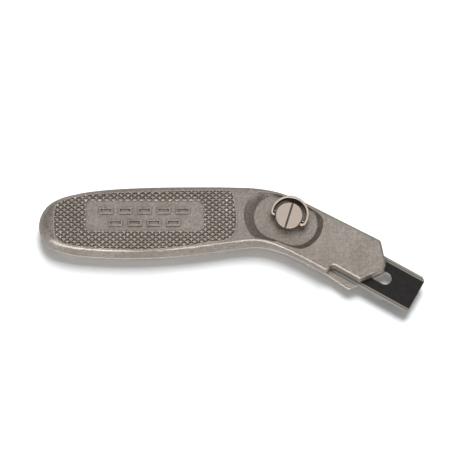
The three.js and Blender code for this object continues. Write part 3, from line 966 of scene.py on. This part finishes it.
thread = []
crest = HEAD["bottom"] - SHANK["neck_length"]
root_radius = SHANK["radius"] - SHANK["thread"]
while crest - SHANK["pitch"] > SHANK["bottom"] + SHANK["plain_end"]:
    thread += [(SHANK["radius"], crest), (root_radius, crest - SHANK["pitch"] / 2)]
    crest -= SHANK["pitch"]
head_radius, head_top, chamfer = HEAD["radius"], HEAD["top"], HEAD["chamfer"]
screw_profile = [
    (0, head_top), (head_radius - chamfer, head_top), (head_radius, head_top - chamfer),
    (head_radius, HEAD["bottom"] + chamfer), (head_radius - chamfer, HEAD["bottom"]),
    (SHANK["radius"] - SHANK["neck"], HEAD["bottom"]), *thread,
    (SHANK["radius"], SHANK["bottom"] + SHANK["point"]),
    (SHANK["radius"] - SHANK["point"], SHANK["bottom"]), (0, SHANK["bottom"]),
]
screw_shape = turned(screw_profile, 2 * KNURL["ribs"])
for vert in screw_shape.verts:
    on_rim = abs(vert.co.xy.length - head_radius) < ON_RIM
    step = round(atan2(vert.co.y, vert.co.x) / (pi / KNURL["ribs"]))
    if on_rim and step % 2:
        vert.co.xy *= 1 - KNURL["depth"] / head_radius
screw = as_object("screw_with_slotted_head", screw_shape)
slot_shape = block(
    (-SLOT["width"] / 2, -head_radius - PAST, head_top - SLOT["depth"]),
    (SLOT["width"] / 2, head_radius + PAST, head_top + PAST),
)
slot_turn = Matrix.Rotation(SLOT["angle"], 3, "Z")
bmesh.ops.rotate(slot_shape, matrix=slot_turn, verts=slot_shape.verts)
work(screw, "DIFFERENCE", slot_shape)
screw_centre = TO_FRAME @ Vector((0, 0, 0))
settle(
    screw, "screw",
    plated_steel("plated_screw", (0.6, 0.51, 0.45), (0.4, 0.54), screw_centre),
    ["clamp_screw"], sharp=30,
)

# ---------------------------------------------------------------------------
# Steel pin with slightly domed ends, pressed through the screw's head. The ring folds about
# it.
PIN = {"radius": 0.8, "half": 8.2, "height": 8.2, "dome": 0.3}
RING_ANGLE = radians(-22)
pin_shape = drum(PIN["radius"], -PIN["half"], PIN["half"], sides=24)
pin_ends = [
    edge for edge in pin_shape.edges
    if abs(abs(edge.verts[0].co.z) - PIN["half"]) < SAME
    and abs(edge.verts[0].co.z - edge.verts[1].co.z) < SAME
]
bmesh.ops.bevel(
    pin_shape, geom=pin_ends, offset=PIN["dome"], segments=3, profile=0.5, affect="EDGES",
    material=-1,
)
pin_turn = Matrix.Rotation(RING_ANGLE, 4, "Z") @ Matrix.Rotation(pi / 2, 4, "Y")
lie = Matrix.Translation((0, 0, PIN["height"])) @ pin_turn
bmesh.ops.transform(pin_shape, matrix=lie, verts=pin_shape.verts)
settle(as_object("ring_pin", pin_shape), "screw", PLAIN_STEEL, ["bail_pin"])

# ---------------------------------------------------------------------------
# Fold-down ring, a plated steel strip bent round the head, which turns the screw by hand. Its
# ends curl in to the pin.
RING = {
    "inner": 7.8, "outer": 9.0, "offset": 0.7, "bottom": 6.1, "top": 10.5, "past": radians(12),
    "edge": 0.25,
}
CURL = {"radius": 1.3, "turn": radians(80), "end": 0.55}
SEAM = 1e-3  # the ring's two halves are joined where they are closer than this

# The strip starts as one face, its cross-section with rounded corners.
strip = block((RING["inner"], -PAST, RING["bottom"]), (RING["outer"], PAST, RING["top"]))
others = [face for face in strip.faces if face.normal.y < 0.5]
bmesh.ops.delete(strip, geom=others, context="FACES_ONLY")
loose = [edge for edge in strip.edges if not edge.link_faces]
bmesh.ops.delete(strip, geom=loose, context="EDGES")
bmesh.ops.delete(strip, geom=[v for v in strip.verts if not v.link_faces], context="VERTS")
bmesh.ops.bevel(
    strip, geom=strip.verts[:], offset=RING["edge"], segments=3, profile=0.5, affect="VERTICES",
    material=-1,
)


def swept(shape, face, centre, angle, steps):
    """Carries the strip's end round a centre and returns the new end. The old end is removed."""
    made = bmesh.ops.spin(
        shape, geom=[face], cent=centre, axis=(0, 0, 1), angle=angle, steps=steps, use_merge=False,
    )["geom_last"]
    if face.is_valid:
        bmesh.ops.delete(shape, geom=[face], context="FACES_ONLY")
    return next(part for part in made if isinstance(part, bmesh.types.BMFace))


for vert in strip.verts:
    vert.co.y = 0
start_face = strip.faces[:][0]
bmesh.ops.translate(strip, vec=(0, RING["offset"], 0), verts=strip.verts)
ring_centre = Vector((0, RING["offset"], 0))
bmesh.ops.rotate(strip, cent=ring_centre, matrix=Matrix.Rotation(pi / 2, 3, "Z"), verts=strip.verts)

# Half of the ring is swept from its middle to its tip and is then mirrored.
mid_radius = (RING["inner"] + RING["outer"]) / 2
half_turn = pi / 2 + RING["past"]
end_face = swept(strip, start_face, ring_centre, half_turn, 48)
way = (end_face.calc_center_median().xy - ring_centre.xy).normalized()
curl_centre = ring_centre.xy + way * (mid_radius - CURL["radius"])
end_face = swept(strip, end_face, (curl_centre.x, curl_centre.y, 0), CURL["turn"], 12)
tips = bmesh.ops.extrude_face_region(strip, geom=[end_face])["geom"]
tip_face = next(part for part in tips if isinstance(part, bmesh.types.BMFace))
tip_way = Matrix.Rotation(half_turn + CURL["turn"], 3, "Z") @ Vector((-1, 0, 0))
bmesh.ops.translate(strip, vec=tip_way * CURL["end"], verts=tip_face.verts[:])
bmesh.ops.delete(strip, geom=[end_face], context="FACES_ONLY")
half_ring = strip.verts[:] + strip.edges[:] + strip.faces[:]
bmesh.ops.mirror(strip, geom=half_ring, axis="X", merge_dist=SEAM)
bmesh.ops.remove_doubles(strip, verts=strip.verts, dist=SEAM)
ring_turn = Matrix.Rotation(RING_ANGLE, 3, "Z")
bmesh.ops.rotate(strip, cent=(0, 0, 0), matrix=ring_turn, verts=strip.verts)
bmesh.ops.recalc_face_normals(strip, faces=strip.faces)
settle(
    as_object("fold_down_ring", strip), "bail",
    plated_steel("plated_ring", (0.56, 0.475, 0.4), (0.24, 0.38), screw_centre), ["bail_ring"],
)
